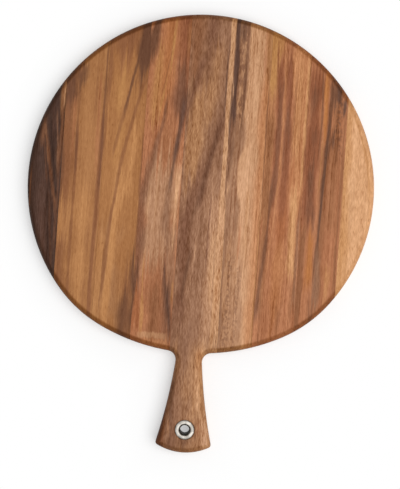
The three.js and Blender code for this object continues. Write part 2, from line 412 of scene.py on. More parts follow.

# The grain of each stave from left to right, set after the photograph.
# Later streaks lie over earlier ones.
GRAINS = {
    "left_4": Grain("umber", 11, (
        shade("plum", -162, 10, (-108, 8), lean=-8, strength=0.5),
        shade("bark", -161.4, 5.4, (28, 68), lean=-6, strength=0.55, fade=16, fleck=0.3),
        shade("bark", -152.6, 3.2, (-36, 42), lean=-19, strength=0.58, fleck=0.25),
        shade("plum", -151, 5, (40, 100), lean=-6, strength=0.4),
        Streak("chestnut", -154.6, 1.3, (4, 62), lean=-17, strength=0.4, fade=16, fleck=0.45),
        shade("char", -149.2, 2.2, (-26, 66), lean=-15, strength=0.6),
        Streak("walnut", -157.4, 1.3, (-20, 46), lean=-17, strength=0.6),
        shade("drab", -146.2, 2.2, (8, 76), lean=-8, strength=0.7),
        shade("char", -145.4, 1.4, (30, 80), lean=-5, strength=0.25),
        Streak("chestnut", -144.8, 4, (4, 120), lean=-2, strength=0.55, soft=0.9, fade=34),
        Streak("tan", -144.4, 4.2, (60, 116), lean=-2.4, strength=0.5, fleck=0.25),
        Streak("umber", -147, 0.9, (40, 92), lean=-2.5, strength=0.6),
        Streak("oat", -144.4, 0.9, (68, 99), lean=-1, fade=8, fleck=0.3),
        shade("char", -157.4, 2.2, (-92, -12), lean=-11, strength=0.55),
        shade("plum", -164, 3, (-88, -34), lean=-11, strength=0.6),
        shade("bark", -174.4, 1.6, (-46, 14), strength=0.55),
        Streak("walnut", -145.4, 2.2, (-76, 60), strength=0.6),
        shade("walnut", -154.5, 2.4, (-95, -8), lean=-8, strength=0.5),
    ), fibre=0.34, stroke=0.3, rim=0.58),
    "left_3": Grain("tan", 23, (
        shade("bark", -140, 14, (-44, 130), strength=0.95, fade=34),
        shade("bark", -140, 11, (-135, -44), strength=0.9, fade=30),
        shade("chestnut", -131, 9, (84, 160), strength=0.75, fade=30),
        Streak("walnut", -140, 9.5, (70, 132), strength=1, fade=16, fleck=0.15),
        Streak("walnut", -129, 7, (86, 124), fade=14, fleck=0.15),
        shade("cocoa", -139.5, 5, (50, 96), strength=0.4),
        Streak("walnut", -144.6, 3.6, (-40, 60), strength=0.6),
        Streak("amber", -141, 3.4, (-62, -12), strength=0.55),
        Streak("bark", -129.9, 2.2, (-135, 95), lean=-0.3, strength=0.7),
        Streak("cocoa", -130.2, 1.8, (0, 66), strength=0.65),
        Streak("copper", -134, 2.2, (10, 90), strength=0.5),
        Streak("bark", -138.3, 1.3, (25, 76), strength=0.6),
        shade("chestnut", -105.4, 5, (-150, 74), strength=0.6),
        Streak("bark", -105.6, 3, (-150, 82), lean=0.6, strength=0.9),
        Streak("cocoa", -104.6, 1.9, (-20, 150), lean=0.6, strength=0.7),
        Streak("copper", -109.5, 2.2, (0, 120), strength=0.5),
        Streak("chestnut", -112.4, 1.5, (-150, -20), strength=0.3),
        Streak("chestnut", -113, 1.6, (55, 130), strength=0.55),
        shade("amber", -119, 10, (-140, 0), strength=0.65),
    ), fibre=0.18, stroke=0.15, vein=0.22),
    "left_2": Grain("ochre", 37, (
        shade("chestnut", -86, 26, (110, 200), strength=1, fade=34),
        shade("bark", -84, 26, (120, 210), strength=0.65),
        Streak("bark", -101.5, 5, (84, 165), strength=0.75),
        Streak("bark", -101.4, 1.5, (20, 100), strength=0.6),
        shade("bark", -79, 6, (118, 176), strength=0.6),
        shade("honey", -88, 9, (66, 124), strength=0.7),
        Streak("honey", -92, 6, (10, 80), lean=12, strength=0.5),
        shade("fawn", -89, 20, (-150, -36)),
        shade("amber", -93, 8, (-150, -40), lean=4, strength=0.6),
        Streak("amber", -84.2, 6.4, (-160, 34), lean=4, strength=1),
        Streak("amber", -75, 6.5, (-26, 70), lean=8, soft=0.9),
        shade("bark", -67, 9, (80, 150), strength=0.7, fade=24),
        Streak("walnut", -77, 10, (94, 210), lean=8.3, strength=1, soft=0.6, fade=24),
        Streak("bark", -96.8, 2.2, (16, 110), lean=18.4, strength=0.65, swell=0.3),
        Streak("walnut", -96.6, 2.1, (70, 168), lean=18.6, swell=0.3),
        Streak("bark", -86, 2.4, (-42, 112), lean=11.5, bow=9, strength=0.7, swell=0.3),
        Streak("bark", -86.9, 2.7, (-130, -8), lean=9, bow=2.4, strength=0.75, swell=0.3),
        shade("bark", -68, 12, (-185, -80), fade=40),
        Streak("walnut", -62, 9, (-185, -68), lean=-2, strength=0.95, fade=34),
        shade("walnut", -71, 10, (-185, -106), strength=0.8),
        Streak("bark", -62.2, 1.6, (-85, 60)),
    ), fibre=0.13, stroke=0.16, vein=0.16),
    "left_1": Grain("copper", 41, (
        shade("orange", -50, 13, (58, 190), lean=6, strength=0.6),
        shade("honey", -56, 8, (50, 150), lean=4, strength=0.7),
        Streak("walnut", -84, 9, (104, 210), lean=17.5, strength=0.95, fade=30),
        Streak("honey", -46.4, 2.2, (112, 186), lean=6),
        Streak("honey", -57.6, 1.4, (48, 120), lean=14, strength=0.75),
        Streak("bark", -60, 1.3, (86, 150), lean=15, strength=0.6),
        Streak("cocoa", -52.6, 1.5, (48, 104), lean=14, strength=0.7),
        Streak("amber", -36, 1.4, (98, 130), lean=0.5, strength=0.6),
        shade("brick", -25, 13, (56, 200), strength=0.95, fade=30),
        shade("tan", -21.6, 3, (126, 176), strength=0.55),
        Streak("cocoa", -26.5, 11, (54, 134), strength=0.95, soft=0.9),
        shade("chestnut", -38, 14, (14, 84), strength=0.55, fade=26),
        Streak("rose", -41, 21, (-104, 36), strength=1, soft=0.5, fade=34),
        shade("oat", -52, 3, (-44, 30), strength=0.5),
        shade("oat", -44.5, 3, (-60, 36), strength=0.4),
        shade("drab", -33.5, 6.5, (-66, 2), strength=0.75),
        shade("drab", -31, 3, (-26, 20), strength=0.55),
        Streak("clay", -24, 6, (-130, -30), strength=0.75),
        Streak("oat", -24.2, 4.2, (-70, 20), strength=0.6, soft=0.9),
        Streak("cream", -23.8, 3.2, (-38, 36), lean=4, strength=1),
        Streak("sap", -23.8, 1.8, (-22, 26), lean=4, strength=0.7),
        shade("cocoa", -54.4, 3.4, (30, 96), lean=18, strength=0.55),
        shade("bark", -45, 3.4, (-108, -66), strength=0.55),
        Streak("cocoa", -56.4, 6, (-22, 62), lean=20, strength=0.7, soft=0.9),
        Streak("cocoa", -59.6, 6, (-118, 6), strength=0.7),
        shade("cocoa", -55.6, 4, (-82, -30), strength=0.7),
        shade("cocoa", -57.5, 3.4, (-8, 32), strength=0.6),
        shade("drab", -30, 4, (-96, -44), strength=0.7),
        Streak("plum", -31.8, 5, (14, 108), lean=10.8, soft=0.9, swell=0.3),
        shade("plum", -31.8, 3.2, (-14, 60), lean=10.8, strength=0.7),
        Streak("walnut", -60.5, 4.5, (-135, -72)),
        shade("bark", -39, 15, (-190, -88), fade=34),
        shade("cocoa", -27, 8, (-190, -92), strength=0.7),
        shade("plum", -44.6, 6.4, (-175, -78), lean=-15.5, strength=0.75, fade=36),
        shade("umber", -44.2, 2, (-150, -86), lean=-15.5, strength=0.5),
        Streak("honey", -21.8, 1.2, (-124, -96), strength=0.6, fade=8),
        Streak("amber", -55.6, 2.2, (-160, -66), lean=-3, strength=0.9),
        Streak("russet", -57.6, 4.4, (-158, -98)),
        Streak("oat", -40, 19, (-158.5, -150), strength=0.6, soft=0.5, fade=2.6),
        Streak("salmon", -36, 22, (-178, -156), strength=0.65, soft=0.4, fade=4),
        Streak("walnut", -26, 9, (-300, -190)),
    ), fibre=0.19, stroke=0.27, vein=0.4),
    HANDLE: Grain("clay", 53, (
        shade("bark", -14, 14, (92, 200)),
        shade("fawn", 4, 14, (56, 160)),
        Streak("fawn", -9, 14, (-6, 110), strength=1, soft=0.8),
        shade("tan", -16.5, 5, (8, 78), strength=0.5),
        shade("cocoa", -4, 10, (102, 200), lean=3, strength=0.7),
        shade("cocoa", 3, 9, (142, 210), strength=0.5),
        shade("cocoa", -38.6, 8.4, (56, 150), lean=25),
        shade("walnut", -41, 3, (76, 126), lean=24, strength=0.45),
        Streak("plum", 18.4, 1.2, (64, 150), strength=0.6),
        Streak("drab", 16.4, 3, (62, 112), strength=0.5),
        shade("cocoa", 1.5, 7.6, (-30, 90), lean=21, strength=0.8),
        shade("cocoa", -6, 7, (-52, 40), lean=20, strength=0.8),
        shade("walnut", 1.5, 4.8, (-38, 78), lean=21, fleck=0.2, swell=0.3),
        Streak("rose", 12, 9, (-130, 40), strength=0.4, fleck=0.5),
        Streak("cocoa", -13.5, 11, (-150, -8), soft=0.9),
        shade("walnut", 3.2, 2.8, (-128, -52), lean=14),
        Streak("rose", 5.4, 1.5, (-96, -46), lean=10, strength=0.7),
        shade("cocoa", -12, 7, (-165, -104), lean=4, strength=0.45),
        shade("rose", 10, 4, (-172, -116), strength=0.55),
        Streak("rose", 15.8, 6.4, (-166, 6), strength=0.95),
        shade("oat", 17, 4.4, (-130, -30)),
        Streak("cocoa", 11.2, 1.3, (-84, 2), lean=0.5, strength=0.7),
        Streak("oat", 22.4, 2.8, (-40, 200), strength=1, soft=0.3, swell=0.15),
        Streak("plum", 26, 1.6, (46, 126), lean=-0.8, strength=0.7),
        Streak("oat", 24.4, 5.8, (-196, 10), strength=1, soft=0.35, fade=40, swell=0.1),
        shade("cream", 24, 4, (-150, 0), strength=0.9, swell=0.1),
        shade("sap", 23, 3.6, (-136, -72), strength=0.6),
        Streak("fawn", 2, 30, (-330, -150), strength=0.6, soft=0.6, fade=20),
        Streak("drab", -14, 14, (-310, -140), soft=0.9),
        shade("drab", -4, 8.5, (-206, -132), strength=0.8),
        shade("fawn", -15, 5, (-200, -160), strength=0.65),
        shade("drab", 3, 6, (-242, -208), strength=0.6),
        shade("plum", -15, 5, (-276, -186), strength=0.35),
        # The four walnut patches below and round the eyelet are painted shade of its flange.
        shade("walnut", -2, 16, (-276, -250), strength=0.5, fade=10),
        shade("walnut", 2, 9, (-266, -247), strength=0.6, fade=6),
        shade("walnut", 10, 5, (-262, -240), strength=0.45, fade=7),
        shade("walnut", -9.5, 4, (-266, -240), strength=0.45, fade=8),
        Streak("oat", 12.5, 7.5, (-240, -148), strength=1, soft=0.8, swell=0.3),
        Streak("orange", 10, 4, (-190, -160), strength=0.45, fade=10),
        Streak("oat", 4, 1.8, (-208, -170), lean=-3, strength=0.6, fleck=0.4),
        Streak("tan", 8, 4, (-240, -155), strength=0.25),
        shade("cream", 10, 3.8, (-212, -166), strength=0.7),
        # The cream and blush along the grip's right edge are partly the wood's paler tone, partly a painted
        # highlight on that edge, which faces the light.
        Streak("cream", 23, 9, (-290, -205), strength=0.95, soft=0.8),
        shade("blush", 23, 6.5, (-280, -188), strength=0.8),
        Streak("brick", 14.2, 1.2, (-256, -234), strength=0.7, fade=8),
        Streak("rose", -16.2, 1.8, (-262, -224)),
    ), fibre=0.18, stroke=0.44, vein=0.2, rim=0.6, wander=0.9),
    "right_1": Grain("cream", 67, (
        shade("oat", 53, 12, (20, 200), strength=0.45),
        shade("oat", 42, 4, (8, 62), strength=0.5),
        Streak("copper", 58.5, 4.2, (56, 186), strength=0.7),
        Streak("tan", 61.5, 5, (0, 190)),
        shade("salmon", 60, 9.5, (-175, 120)),
        Streak("clay", 33.2, 8.8, (-72, 80), soft=0.5),
        Streak("cocoa", 32.2, 6.4, (52, 200), lean=1.7, soft=0.4, swell=0.2),
        Streak("rose", 33.6, 5.6, (56, 200), strength=0.45, soft=0.6, fleck=1),
        Streak("oat", 34.6, 4.6, (58, 196), strength=0.45, fleck=1),
        Streak("oat", 33, 2.6, (70, 112), strength=0.7, fleck=0.8),
        Streak("walnut", 37.4, 1.6, (52, 150), strength=0.5),
        Streak("plum", 28.2, 3.1, (52, 210), strength=1, soft=0.5),
        shade("plum", 33, 6.5, (150, 210), strength=0.6, fade=16),
        Streak("cocoa", 27.4, 2.9, (-12, 76)),
        shade("walnut", 29.8, 2.4, (0, 62), strength=0.65),
        Streak("bark", 36.3, 1.4, (-50, 60), strength=0.75),
        Streak("bark", 32.8, 1.2, (-45, 20), strength=0.6),
        Streak("rose", 34, 4, (-60, 44), strength=0.6, fleck=1),
        Streak("copper", 42.6, 2.6, (-82, -22), strength=0.75),
        shade("sap", 49.2, 3.4, (-70, 14), strength=0.6),
        Streak("copper", 61.4, 1.9, (-96, -16), strength=0.5),
        Streak("rose", 33, 12, (-190, -36), soft=0.6),
        Streak("rose", 45, 5.6, (-190, -58)),
        shade("clay", 49, 4, (-175, -106), strength=0.45),
        Streak("oat", 33, 6, (-130, -46), strength=0.45, fleck=0.7),
        Streak("drab", 35.5, 5.5, (-175, -56), strength=0.65, curl=1),
        Streak("drab", 44, 4, (-175, -70), strength=0.55, curl=1),
        Streak("clay", 28.4, 2.8, (-175, -30), strength=0.75),
        Streak("drab", 30, 2.6, (-168, -110), strength=0.5),
        Streak("bark", 63, 1.6, (-20, 115)),
        Streak("tan", 62.6, 2, (-175, -20), strength=0.7),
    ), fibre=0.22, stroke=0.24),
    "right_2": Grain("copper", 71, (
        Streak("tan", 66, 8, (-40, 190), strength=0.5),
        Streak("honey", 66.2, 5.6, (90, 190), strength=1),
        Streak("honey", 72, 7, (128, 190), strength=0.7),
        Streak("chestnut", 67, 7, (-130, 88), soft=0.9),
        Streak("salmon", 96, 11, (-20, 180), strength=1, soft=0.5),
        Streak("peach", 102, 1.8, (-10, 150), strength=0.75),
        shade("peach", 94, 6, (20, 150), strength=0.4),
        Streak("chestnut", 89.6, 1.2, (20, 140), strength=0.55),
        Streak("peach", 96, 6, (-92, 10), lean=-1.5, strength=0.9),
        shade("russet", 91, 4.6, (-10, 40), strength=0.75),
        Streak("brick", 74.2, 5, (-20, 144), lean=0.8, bow=-1.2, strength=0.95),
        Streak("cocoa", 75, 4, (-8, 116), strength=0.6),
        Streak("brick", 84.6, 4.6, (-12, 150), lean=0.6, bow=-2, strength=1),
        Streak("cocoa", 83.6, 4, (0, 96), strength=0.65),
        Streak("russet", 85, 6.4, (-64, 22), strength=0.95),
        Streak("brick", 84.5, 5, (-34, 70)),
        Streak("salmon", 77.6, 1.4, (-92, 164), lean=3.5, bow=-2.2, strength=0.45),
        Streak("cocoa", 72.2, 4, (-145, 18), lean=2.8, bow=-2.8, soft=0.95),
        shade("orange", 84, 9, (-150, -40), strength=0.5),
        shade("salmon", 86, 7, (-110, -40), strength=0.45),
        shade("chestnut", 100, 6, (-135, -78), strength=0.5),
        shade("bark", 88, 5, (-150, -102), strength=0.5),
        shade("bark", 69, 4, (-168, -110), strength=0.5),
        Streak("clay", 102.8, 2.6, (-125, -14), strength=0.7),
        Streak("bark", 104.2, 1.6, (0, 150), strength=0.5),
    ), fibre=0.24, stroke=0.24, rim=0.8),
    "right_3": Grain("copper", 83, (
        Streak("brick", 111, 8.5, (-40, 136), strength=0.9, soft=0.5),
        Streak("cocoa", 108, 3.4, (66, 118), strength=0.5),
        Streak("cocoa", 112, 5.4, (-40, 50), strength=0.75, fleck=0.3),
        Streak("walnut", 111, 4.6, (84, 116), strength=0.4, fade=14),
        Streak("walnut", 112, 4.4, (44, 74), strength=0.4, fade=12),
        Streak("walnut", 110.6, 4, (4, 32), strength=0.4, fade=12),
        Streak("walnut", 116.8, 2.4, (-48, 2), strength=0.5),
        Streak("bark", 107, 4.5, (-150, -20)),
        Streak("orange", 115.2, 4.6, (-108, -30), strength=0.95),
        shade("bark", 125, 7.4, (-112, 66), strength=0.75),
        Streak("orange", 121.8, 3.4, (50, 140), strength=0.95),
        Streak("walnut", 118.2, 1.5, (34, 134), strength=0.6),
        Streak("orange", 120.4, 1.8, (84, 126), strength=0.8),
        Streak("honey", 120.8, 1.5, (-6, 62), strength=0.45),
        shade("chestnut", 134, 9, (-48, 120), strength=0.7),
        Streak("walnut", 124, 2.6, (-90, 132), lean=3, strength=0.8),
        Streak("plum", 124.4, 1.5, (-60, 100), lean=2.6, strength=0.7, fleck=0.4),
        Streak("walnut", 126.8, 3.2, (28, 72), strength=0.65),
        Streak("plum", 131, 4.2, (42, 72), strength=0.6, fade=12),
        Streak("walnut", 131, 6.4, (80, 136)),
        Streak("plum", 136, 8, (36, 128), strength=0.5, curl=1),
        Streak("plum", 135, 4, (88, 116), strength=0.75, fade=9),
        Streak("plum", 141.5, 3, (80, 106), strength=0.9, fade=9),
        Streak("bark", 136, 2.2, (26, 66), strength=0.7, fade=14),
        Streak("clay", 124.6, 4.2, (-126, -46)),
        shade("walnut", 120.6, 6, (-150, -100), strength=0.65),
        Streak("drab", 122.8, 2.2, (-120, -50), strength=0.7),
        Streak("amber", 134.6, 6, (-124, -66), strength=0.55),
        Streak("bark", 142.4, 2.2, (-104, 92), strength=0.7),
    ), fibre=0.19, stroke=0.18, rim=0.95),
    "right_4": Grain("sap", 97, (
        Streak("amber", 146.6, 6, strength=0.75),
        Streak("copper", 144.8, 2, (-60, 40), strength=0.3),
        Streak("amber", 150.6, 6.5, (-92, 10), strength=0.65),
        Streak("oat", 155.5, 4, (-46, 34), strength=0.3),
        Streak("honey", 160, 16, (-110, 60), strength=0.16, fleck=1),
        Streak("amber", 172, 2.2, (-16, 96), bow=-29, strength=0.75),
    ), fibre=0.12, stroke=0.26, vein=0.1, pore=0.45, rim=0.32),
}


def drawn_noise(tree, place, size, detail, slant=0.0):
    """Noise drawn out along the fibres: as wide and long as its size, in millimetres, and turned by slant."""
    wide, long = size
    drawn = node(
        tree, "Mapping",
        {"Vector": place, "Rotation": (0.0, 0.0, slant), "Scale": (wide, long, wide)},
        vector_type="TEXTURE",
    )
    return node(tree, "TexNoise", {"Vector": drawn, "Scale": 1.0, "Detail": detail})


def run_of_grain(name):
    """Node group for the run of the grain: the place on a stave, in millimetres, bent as the fibres run.

    The place across the fibres is x plus a slow wander and a fine feathering, both noise drawn out along y.
    The place along them is y, and a noise for the ragged ends of streaks goes with it.
    """
    group, entry, leave = node_group(
        name,
        {"Vector": ["Position"], "Float": ["Seed", "Wander"]},
        {"Float": RUN_SOCKETS, "Vector": ["Fibres"]},
    )
    place = node(group, "VectorMath", {0: entry["Position"], "Scale": MM_PER_METRE}, operation="SCALE")
    shift = node(group, "CombineXYZ", [entry["Seed"]] * 3)
    seeded = node(group, "VectorMath", (place, shift), operation="ADD")
    swings = []
    for size in (WANDER_SIZE, FEATHER_SIZE, RAGGED_SIZE):
        noise = drawn_noise(group, seeded, size, detail=2.0)
        swings.append(node(group, "Math", (noise, NOISE_MIDDLE), operation="SUBTRACT"))
    wander, feather, ragged = swings
    across, along_fibres, height = node(group, "SeparateXYZ", (place,), out=None)
    for swing, reach in ((wander, WANDER_SWING), (feather, FEATHER_SWING)):
        moved = node(group, "Math", (entry["Wander"], reach), operation="MULTIPLY")
        across = node(group, "Math", (swing, moved, across), operation="MULTIPLY_ADD")
    # The rings lie askew in the board, so a streak drifts sideways as it goes down into the edge.
    thickness = bpy.context.scene.paddle_sizes.thickness * MM_PER_METRE
    depth = node(group, "Math", (height, thickness), operation="SUBTRACT")
    across = node(group, "Math", (depth, RING_DRIFT, across), operation="MULTIPLY_ADD")
    fibres = node(group, "CombineXYZ", (across, along_fibres, height))
    fibres = node(group, "VectorMath", (fibres, shift), operation="ADD")
    results = {"Across": across, "Along": along_fibres, "Ragged": ragged, "Fibres": fibres}
    for pattern, (size, low, high) in BREAKS.items():
        noise = drawn_noise(group, fibres, size, detail=1.5)
        results[pattern] = node(
            group, "MapRange", {"Value": noise, "From Min": low, "From Max": high}, **SMOOTH
        )
    for socket, result in results.items():
        group.links.new(result, leave[socket])
    return group


def grain_streak(name):
    """Node group for one streak: its tone mixed over the wood near its middle line, between its two ends."""
    # All streaks feed the same sockets, so the names are taken from one without a shape.
    shape = Streak("sap", at=0, half=0).feeds()
    group, entry, leave = node_group(
        name, {"Color": ["Colour", "Tone"], "Float": [*RUN_SOCKETS, *shape]}, {"Color": ["Colour"]}
    )
    rise = node(group, "Math", (entry["Along"], RISE), operation="DIVIDE")
    square = node(group, "Math", (rise, rise), operation="MULTIPLY")
    line = node(group, "Math", (rise, entry["Lean"], entry["At"]), operation="MULTIPLY_ADD")
    line = node(group, "Math", (square, entry["Bow"], line), operation="MULTIPLY_ADD")
    gap = node(group, "Math", (entry["Across"], line), operation="SUBTRACT")
    gap = node(group, "Math", (gap,), operation="ABSOLUTE")
    waves = node(group, "Math", (entry["Along"], 1 / SWELL_WAVE, entry["At"]), operation="MULTIPLY_ADD")
    waves = node(group, "TexNoise", {"W": waves, "Scale": 1.0, "Detail": 1.0}, noise_dimensions="1D")
    swell = node(
        group, "MapRange",
        {
            "Value": waves, "From Min": NOISE_LOW, "From Max": NOISE_HIGH,
            "To Min": entry["Thin"], "To Max": entry["Thick"],
        },
    )
    gap = node(group, "Math", (gap, swell), operation="DIVIDE")
    beside = node(
        group, "MapRange",
        {"Value": gap, "From Min": entry["Core"], "From Max": entry["Half"], "To Min": 1.0, "To Max": 0.0},
        **SMOOTH,
    )
    shown = [beside]
    torn = node(group, "Math", (entry["Ragged"], entry["Fade"]), operation="MULTIPLY")
    torn = node(group, "Math", (torn, RAGGED_REACH, entry["Along"]), operation="MULTIPLY_ADD")
    for ends in ((torn, entry["Low"]), (entry["High"], torn)):
        inside = node(group, "Math", ends, operation="SUBTRACT")
        shown.append(node(group, "MapRange", {"Value": inside, "From Max": entry["Fade"]}, **SMOOTH))
    for amount, pattern in (("Fleck", "Flecks"), ("Curl", "Curls")):
        broken = {"Factor": entry[amount], "A": 1.0, "B": entry[pattern]}
        shown.append(node(group, "Mix", broken, data_type="FLOAT"))
    cover = entry["Strength"]
    for part in shown:
        cover = node(group, "Math", (cover, part), operation="MULTIPLY")
    layers = {"Factor": cover, MIX_A: entry["Colour"], MIX_B: entry["Tone"]}
    group.links.new(node(group, "Mix", layers, **OF_COLOURS), leave["Colour"])
    return group


def grain_figure(name):
    """Node group for the fine figure: long fibres, short slanting strokes, thin veins and open pores.

    Fibres and strokes are drawn-out noise, veins lie where a slow noise passes its middle value, and pores
    where a short noise is high. Their sum moves the brightness, the shine and the height of the surface.
    """
    tones = bpy.context.scene.paddle_tones
    group, entry, leave = node_group(
        name,
        {"Color": ["Colour"], "Vector": ["Fibres"], "Float": ["Fibre", "Stroke", "Vein", "Pore", "Rim"]},
        {"Color": ["Colour"], "Float": ["Roughness", "Height"]},
    )
    total = 0.0
    for layer in LAYERS:
        noise = drawn_noise(group, entry["Fibres"], (layer.wide, layer.long), detail=2.0, slant=layer.slant)
        swing = node(group, "Math", (noise, NOISE_MIDDLE), operation="SUBTRACT")
        swing = node(group, "Math", (swing, layer.gain), operation="MULTIPLY")
        total = node(group, "Math", (swing, entry[layer.share], total), operation="MULTIPLY_ADD")
    patches = drawn_noise(group, entry["Fibres"], PATCH_SIZE, detail=1.0)
    for mark in MARKS:
        noise = drawn_noise(group, entry["Fibres"], (mark.wide, mark.long), detail=1.5)
        gap = node(group, "Math", (noise, NOISE_MIDDLE + mark.away), operation="SUBTRACT")
        gap = node(group, "Math", (gap,), operation="ABSOLUTE")
        near = {"Value": gap, "From Max": mark.soft, "To Min": 1.0, "To Max": 0.0}
        dark = node(group, "MapRange", near, **SMOOTH)
        for amount in (patches, entry[mark.share]):
            dark = node(group, "Math", (dark, amount), operation="MULTIPLY")
        total = node(group, "Math", (total, dark), operation="SUBTRACT")
    swings = node(group, "CombineXYZ", [total] * 3)
    swings = node(group, "VectorMath", (swings, FIGURE_SWING, (1.0, 1.0, 1.0)), operation="MULTIPLY_ADD")
    shown = node(group, "VectorMath", (entry["Colour"], swings), operation="MULTIPLY")
    # The rounded edge is darker: partly real oil, which it takes more than the faces and most where it is cut
    # across the fibres, and partly painted shade, whose strength each stave's rim sets.
    facing = node(group, "NewGeometry", out="Normal")
    outward = node(group, "VectorMath", (facing, LEVEL), operation="MULTIPLY")
    outward = node(group, "VectorMath", (outward,), operation="LENGTH", out="Value")
    endwise = node(group, "SeparateXYZ", (facing,), out="Y")
    endwise = node(group, "Math", (endwise,), operation="ABSOLUTE")
    for slope, full, oil in ((outward, RIM_SLOPE, tones.rim_oil_and_shade), (endwise, END_SLOPE, tones.end_oil_and_shade)):
        oiled = node(group, "MapRange", {"Value": slope, "From Max": full})
        oiled = node(group, "Math", (oiled, entry["Rim"]), operation="MULTIPLY")
        layers = {"Factor": oiled, MIX_A: shown, MIX_B: linear(oil)}
        shown = node(group, "Mix", layers, blend_type="MULTIPLY", **OF_COLOURS)
    gloss = node(
        group, "MapRange",
        {
            "Value": total, "From Min": -FIGURE_RANGE, "From Max": FIGURE_RANGE,
            "To Min": DARK_ROUGHNESS, "To Max": PALE_ROUGHNESS,
        },
    )
    for socket, result in (("Colour", shown), ("Roughness", gloss), ("Height", total)):
        group.links.new(result, leave[socket])
    return group


def wood_groups():
    """The node groups that the acacia of every stave shares, made once."""
    makers = {
        "acacia_run_of_grain": run_of_grain,
        "acacia_grain_streak": grain_streak,
        "acacia_fine_figure": grain_figure,
    }
    return [bpy.data.node_groups.get(name) or make(name) for name, make in makers.items()]


def acacia(label, grain):
    """Acacia, planed, edge-glued, sanded and oiled: a satin wood with bold streaks from chocolate to cream.

    The streaks are laid over the stave's main tone one after the other, then fibres and pores go over them.
    """
    tones = bpy.context.scene.paddle_tones
    run, streak, figure = wood_groups()
    material = bpy.data.materials.new(label)
    tree = empty_tree(material)
    place = node(tree, "TexCoord", out="Object")
    bent = node(
        tree, "Group", {"Position": place, "Seed": grain.seed, "Wander": grain.wander},
        out=None, node_tree=run,
    )
    on_grain = {socket: bent[socket] for socket in RUN_SOCKETS}
    colour = linear(getattr(tones, grain.tone))
    for mark in grain.streaks:
        laid = {"Colour": colour, "Tone": linear(getattr(tones, mark.tone))}
        colour = node(tree, "Group", {**laid, **on_grain, **mark.feeds()}, node_tree=streak)
    wood = node(
        tree, "Group",
        {
            "Colour": colour, "Fibres": bent["Fibres"], "Fibre": grain.fibre, "Stroke": grain.stroke,
            "Vein": grain.vein, "Pore": grain.pore, "Rim": grain.rim,
        },
        out=None, node_tree=figure,
    )
    bump = node(
        tree, "Bump", {"Strength": GRAIN_BUMP, "Distance": GRAIN_DEPTH, "Height": wood["Height"]}
    )
    shader = node(
        tree, "BsdfPrincipled",
        {
            "Base Color": wood["Colour"], "Roughness": wood["Roughness"], "IOR": WOOD_IOR,
            "Specular IOR Level": WOOD_SPECULAR, "Normal": bump,
        },
    )
    node(tree, "OutputMaterial", {"Surface": shader}, out=None)
    return material


def stave_wood(name):
    """The acacia of one stave, made once."""
    label = f"acacia_sanded_oiled_{name}"
    return bpy.data.materials.get(label) or acacia(label, GRAINS[name])


def nickel(label):
    """Brass sheet, pressed and nickel plated: warm bright metal, scuffed and tarnished in patches, with
    painted shade in its throat and towards its flange's edge.
    """
    tones = bpy.context.scene.paddle_tones
    sizes = bpy.context.scene.eyelet_sizes
    material = bpy.data.materials.new(label)
    tree = empty_tree(material)
    place = node(tree, "TexCoord", out="Object")
    centre = eyelet_centre()
    centred = node(
        tree, "Mapping",
        {"Vector": place, "Location": (centre.real, centre.imag, 0.0), "Rotation": (0.0, 0.0, DARK_PATCH_TURN)},
        vector_type="TEXTURE",
    )
    flat = node(tree, "VectorMath", (centred, LEVEL), operation="MULTIPLY")
    radius = node(tree, "VectorMath", (flat,), operation="LENGTH", out="Value")
    # Painted shade: the throat darkens towards the bore, in place of the dark that it reflects.
    hollow = node(
        tree, "MapRange",
        {
            "Value": radius,
            "From Min": sizes.bore / 2 + THROAT_SHADE_START * sizes.throat,
            "From Max": sizes.bore / 2 + THROAT_SHADE_STOP * sizes.throat,
            "To Min": THROAT_SHADE_DARK, "To Max": 0.0,
        },
        **SMOOTH,
    )
    # Painted shade: the plate darkens towards the flange's outer edge, where the flange meets the wood.
    edge_shade = node(
        tree, "MapRange",
        {
            "Value": radius, "From Min": sizes.flange_radius - EDGE_SHADE_WIDTH * sizes.throat,
            "From Max": sizes.flange_radius, "To Max": EDGE_SHADE_DARK,
        },
        **SMOOTH,
    )
    # Scuffs of about 0.4 mm are drawn 1.2 mm wide so that they show. Tarnish lies in patches of about 5 mm,
    # and the darkest patch, turned to the lower right, is painted shade.
    scuffs = node(tree, "TexNoise", {"Vector": centred, "Scale": MM_PER_METRE / SCUFF_SIZE, "Detail": 3.0})
    patches = node(tree, "TexNoise", {"Vector": centred, "Scale": MM_PER_METRE / TARNISH_SIZE, "Detail": 1.0})
    patches = node(
        tree, "MapRange",
        {"Value": patches, "From Min": TARNISH_START, "From Max": TARNISH_FULL, "To Max": TARNISH_DULL},
        **SMOOTH,
    )
    dull_and_shade = node(tree, "Math", (scuffs, SCUFF_DULL, patches), operation="MULTIPLY_ADD")
    for shade_mask in (hollow, edge_shade):
        dull_and_shade = node(tree, "Math", (dull_and_shade, shade_mask), operation="ADD")
    layers = {"Factor": dull_and_shade, MIX_A: linear(tones.nickel), MIX_B: linear(tones.tarnish_and_shade)}
    metal = node(tree, "Mix", layers, **OF_COLOURS)
    gloss = node(tree, "MapRange", {"Value": scuffs, "To Min": METAL_ROUGHNESS, "To Max": SCUFF_ROUGHNESS})
    shader = node(tree, "BsdfPrincipled", {"Base Color": metal, "Metallic": 1.0, "Roughness": gloss})
    node(tree, "OutputMaterial", {"Surface": shader}, out=None)
    return material


def eyelet_metal():
    """The one material of the eyelet and its washer, made once."""
    label = "brass_pressed_nickel_plated"
    return bpy.data.materials.get(label) or nickel(label)


def crossing(first, first_radius, second, second_radius):
    """Where two circles cross, on the right hand going from first to second, by the cosine rule."""
    span = second - first
    reach = abs(span)
    ahead = (reach**2 + first_radius**2 - second_radius**2) / (2 * reach)
    aside = np.sqrt(first_radius**2 - ahead**2)
    return first + span / reach * (ahead - 1j * aside)


def heading(start, goal):
    """Angle of the line from start to goal."""
    return np.angle(goal - start)


